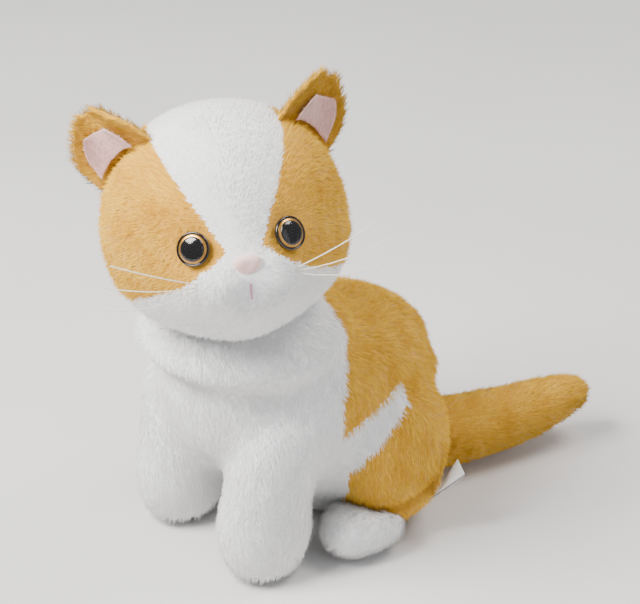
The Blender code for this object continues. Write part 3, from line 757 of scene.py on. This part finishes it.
# ---------------------------------------------------------------- eyes
def turned_piece(name, profile, frame_matrix, material, steps=64):
    """A solid of revolution about the eye's axis, from (radius, height) pairs."""
    form = bmesh.new()
    rings = []
    for radius, height in profile:
        if radius == 0:
            rings.append([form.verts.new((0, 0, height))])
            continue
        turns = [math.tau * step / steps for step in range(steps)]
        rings.append([form.verts.new((radius * math.cos(a), radius * math.sin(a), height)) for a in turns])
    for ring, other in zip(rings, rings[1:]):
        for step in range(steps):
            following = (step + 1) % steps
            corners = [ring[step % len(ring)], ring[following % len(ring)]]
            corners += [other[following % len(other)], other[step % len(other)]]
            unique = list(dict.fromkeys(corners))
            if len(unique) > 2:
                form.faces.new(unique)
    bmesh.ops.recalc_face_normals(form, faces=form.faces)
    bmesh.ops.transform(form, matrix=frame_matrix, verts=form.verts)
    mesh = bpy.data.meshes.new(name)
    form.to_mesh(mesh)
    form.free()
    mesh.shade_smooth()
    mesh.materials.append(material)
    piece = bpy.data.objects.new(name, mesh)
    bpy.context.scene.collection.objects.link(piece)
    return piece


def make_eyes():
    """Fine turned solids on the CAD eyes' own axes: a black base, a foil ring and a domed pupil."""
    black = moulded_material("eye_black", (0.004, 0.003, 0.003), 0.10, 0.35)
    foil = moulded_material("eye_foil", (0.62, 0.30, 0.05), 0.30, 1.0, 0.85, 900.0)
    washer = moulded_material("washer", (0.85, 0.85, 0.83), 0.4)
    clear = clear_material("eye_clear")
    for side in SIDES:
        axis = (middle(f"eye_pupil_{side}") - middle(f"eye_washer_{side}")).normalized()
        rotation = axis.to_track_quat("Z", "Y").to_matrix().to_4x4()
        place = Matrix.Translation(middle(f"eye_iris_{side}")) @ rotation
        seat = IRIS_RADIUS * 0.97
        rim = [(0, -EYE_DEPTH), (EYE_RADIUS * 0.8, -EYE_DEPTH), (EYE_RADIUS, -0.0008)]
        rim += [(EYE_RADIUS, 0.0002), (EYE_RADIUS * 0.955, 0.0007), (IRIS_RADIUS, 0.0006)]
        rim += [(seat, -0.0004), (0, -0.0004)]
        profiles = {
            "eye_base": (rim, black),
            "eye_iris": (dome(seat, 0.0002, DOME_HEIGHT), foil),
            "eye_pupil": (dome(PUPIL_RADIUS, 0.0009, DOME_HEIGHT), black),
        }
        for node, (profile, material) in profiles.items():
            piece = turned_piece(f"{node}_turned_{side}", profile, place, material)
            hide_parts(f"{node}_{side}")
            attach(piece, "head")
        dress(f"eye_washer_{side}", washer)
        dress(f"eye_lens_{side}", clear)


def dome(radius, foot, height, steps=10):
    """Closed profile of a low dome that stands on a flat disc."""
    arc = [math.pi / 2 * step / steps for step in range(steps + 1)]
    crown = [(radius * math.cos(a), foot + height * math.sin(a)) for a in arc[:-1]]
    return [(0, foot - DOME_EDGE), (radius, foot - DOME_EDGE), *crown, (0, foot + height)]


def clear_material(name):
    """Clear plastic, thin enough to see the pupil through."""
    material, shader = new_material(name, (0.02, 0.02, 0.02), 0.02)
    shader.inputs["Alpha"].default_value = 0.06
    shader.inputs["Coat Weight"].default_value = 0.2
    shader.inputs["Coat Roughness"].default_value = 0.02
    link_mottle(material, shader, (0.015, 0.015, 0.015), (0.02, 0.02, 0.02), 300.0)
    return material


def dress(node, material):
    """Gives a CAD node that stays in view its finished material."""
    for slot in NODES[node].material_slots:
        slot.material = material


# ---------------------------------------------------------------- small pieces
def make_trim():
    make_nose()
    dress("mouth_stitch", thread_material("mouth_thread", (0.50, 0.26, 0.36)))
    dress("neck_seam_thread", thread_material("seam_thread", (0.84, 0.83, 0.80)))
    nylon = moulded_material("whisker_nylon", (0.90, 0.84, 0.70), 0.35, 0.5)
    for node in NODES:
        if node.startswith("whisker"):
            dress(node, nylon)
    make_label()


def make_nose():
    """A flocked button with a shallow dent down the middle."""
    nose = make_skin("nose_skin", ["nose"], NOSE_VOXEL, NOSE_INSET, SMALL_SMOOTHING)
    swollen(nose, middle("nose") + FACE_AIM * 0.003, FACE_AIM * -0.0010, 0.0022)
    nose.data.materials.clear()
    nose.data.materials.append(cloth_material("nose_flock", (0.93, 0.62, 0.57), 2200.0))
    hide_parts("nose")
    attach(nose, "head")


def make_label():
    """A blank satin loop, folded double, that twists as it leaves its seam."""
    start = Vector(JOINTS["label_flap"]["pos_m"])
    side = Vector(JOINTS["label_flap"]["axis"]).normalized()
    out = (middle("sewn_label") - start).normalized()
    side = (side - out * side.dot(out)).normalized()
    face = side.cross(out)
    corners = []
    for row in range(LABEL_ROWS + 1):
        run = row / LABEL_ROWS
        along = 1 - abs(2 * run - 1)
        layer = LABEL_GAP * math.sin(math.pi * min(1.0, along * 1.2) / 2) * (1 if run < 0.5 else -1)
        twist = LABEL_TWIST * along
        across = side * math.cos(twist) + face * math.sin(twist)
        normal = face * math.cos(twist) - side * math.sin(twist)
        for column in range(LABEL_COLUMNS + 1):
            shift = (column / LABEL_COLUMNS - 0.5) * LABEL_WIDTH
            corners.append(start + out * along * LABEL_REACH + across * shift + normal * layer)
    faces = []
    across_row = LABEL_COLUMNS + 1
    for row in range(LABEL_ROWS):
        for column in range(LABEL_COLUMNS):
            first = row * across_row + column
            faces.append((first, first + 1, first + across_row + 1, first + across_row))
    mesh = bpy.data.meshes.new("label_loop")
    mesh.from_pydata([tuple(corner) for corner in corners], [], faces)
    mesh.shade_smooth()
    mesh.materials.append(thread_material("label_satin", (0.86, 0.87, 0.88)))
    label = bpy.data.objects.new("label_loop", mesh)
    bpy.context.scene.collection.objects.link(label)
    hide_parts("sewn_label")
    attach(label, "label")


# ---------------------------------------------------------------- floor, light and camera
def make_floor():
    bpy.ops.mesh.primitive_plane_add(size=6, location=(0, 0, 0))
    floor = bpy.context.object
    floor.name = "studio_floor"
    material, shader = new_material("studio_floor", (0.72, 0.71, 0.70), 0.7)
    link_mottle(material, shader, (0.70, 0.69, 0.68), (0.73, 0.72, 0.71), 6.0)
    floor.data.materials.append(material)


def aim(thing, target):
    thing.rotation_euler = (Vector(target) - thing.location).to_track_quat("-Z", "Y").to_euler()


def add_light(name, place, size, power, colour):
    data = bpy.data.lights.new(name, "AREA")
    data.size = size
    data.energy = power
    data.color = colour
    light = bpy.data.objects.new(name, data)
    bpy.context.scene.collection.objects.link(light)
    light.location = place
    aim(light, (0, -0.03, 0.10))


def around(azimuth, elevation, distance):
    """A point seen from the middle of the cat in the given direction."""
    turn = math.radians(azimuth)
    rise = math.radians(elevation)
    level = math.cos(rise)
    offset = Vector((math.sin(turn) * level, -math.cos(turn) * level, math.sin(rise)))
    return MIDDLE + offset * distance


def make_lights():
    add_light("key", around(-15, 50, 1.2), 0.6, 40, (1.0, 0.98, 0.95))
    add_light("fill", around(85, 25, 1.6), 1.2, 4, (0.95, 0.97, 1.0))
    add_light("rim", around(150, 58, 1.2), 0.5, 10, (1.0, 0.96, 0.90))
    world = bpy.data.worlds.new("studio")
    bpy.context.scene.world = world
    world.use_nodes = True
    world.node_tree.nodes["Background"].inputs["Color"].default_value = (0.90, 0.93, 1.0, 1.0)
    world.node_tree.nodes["Background"].inputs["Strength"].default_value = 0.50


def make_camera():
    """Stands where the view is three quarters from the cat's left, 30 degrees up."""
    data = bpy.data.cameras.new("camera")
    data.lens = CAMERA_LENS
    camera = bpy.data.objects.new("camera", data)
    bpy.context.scene.collection.objects.link(camera)
    azimuth = math.radians(CAMERA_AZIMUTH)
    right = Vector((math.cos(azimuth), math.sin(azimuth), 0))
    back = (around(CAMERA_AZIMUTH, CAMERA_ELEVATION, 1) - MIDDLE).normalized()
    up = back.cross(right)
    target = MIDDLE + right * CAMERA_RIGHT + up * CAMERA_UP
    camera.location = target + back * CAMERA_DISTANCE
    aim(camera, target)
    bpy.context.scene.camera = camera


make_head()
make_body()
make_paws_and_tail()
make_ears()
make_eyes()
make_trim()
make_floor()
make_lights()
make_camera()
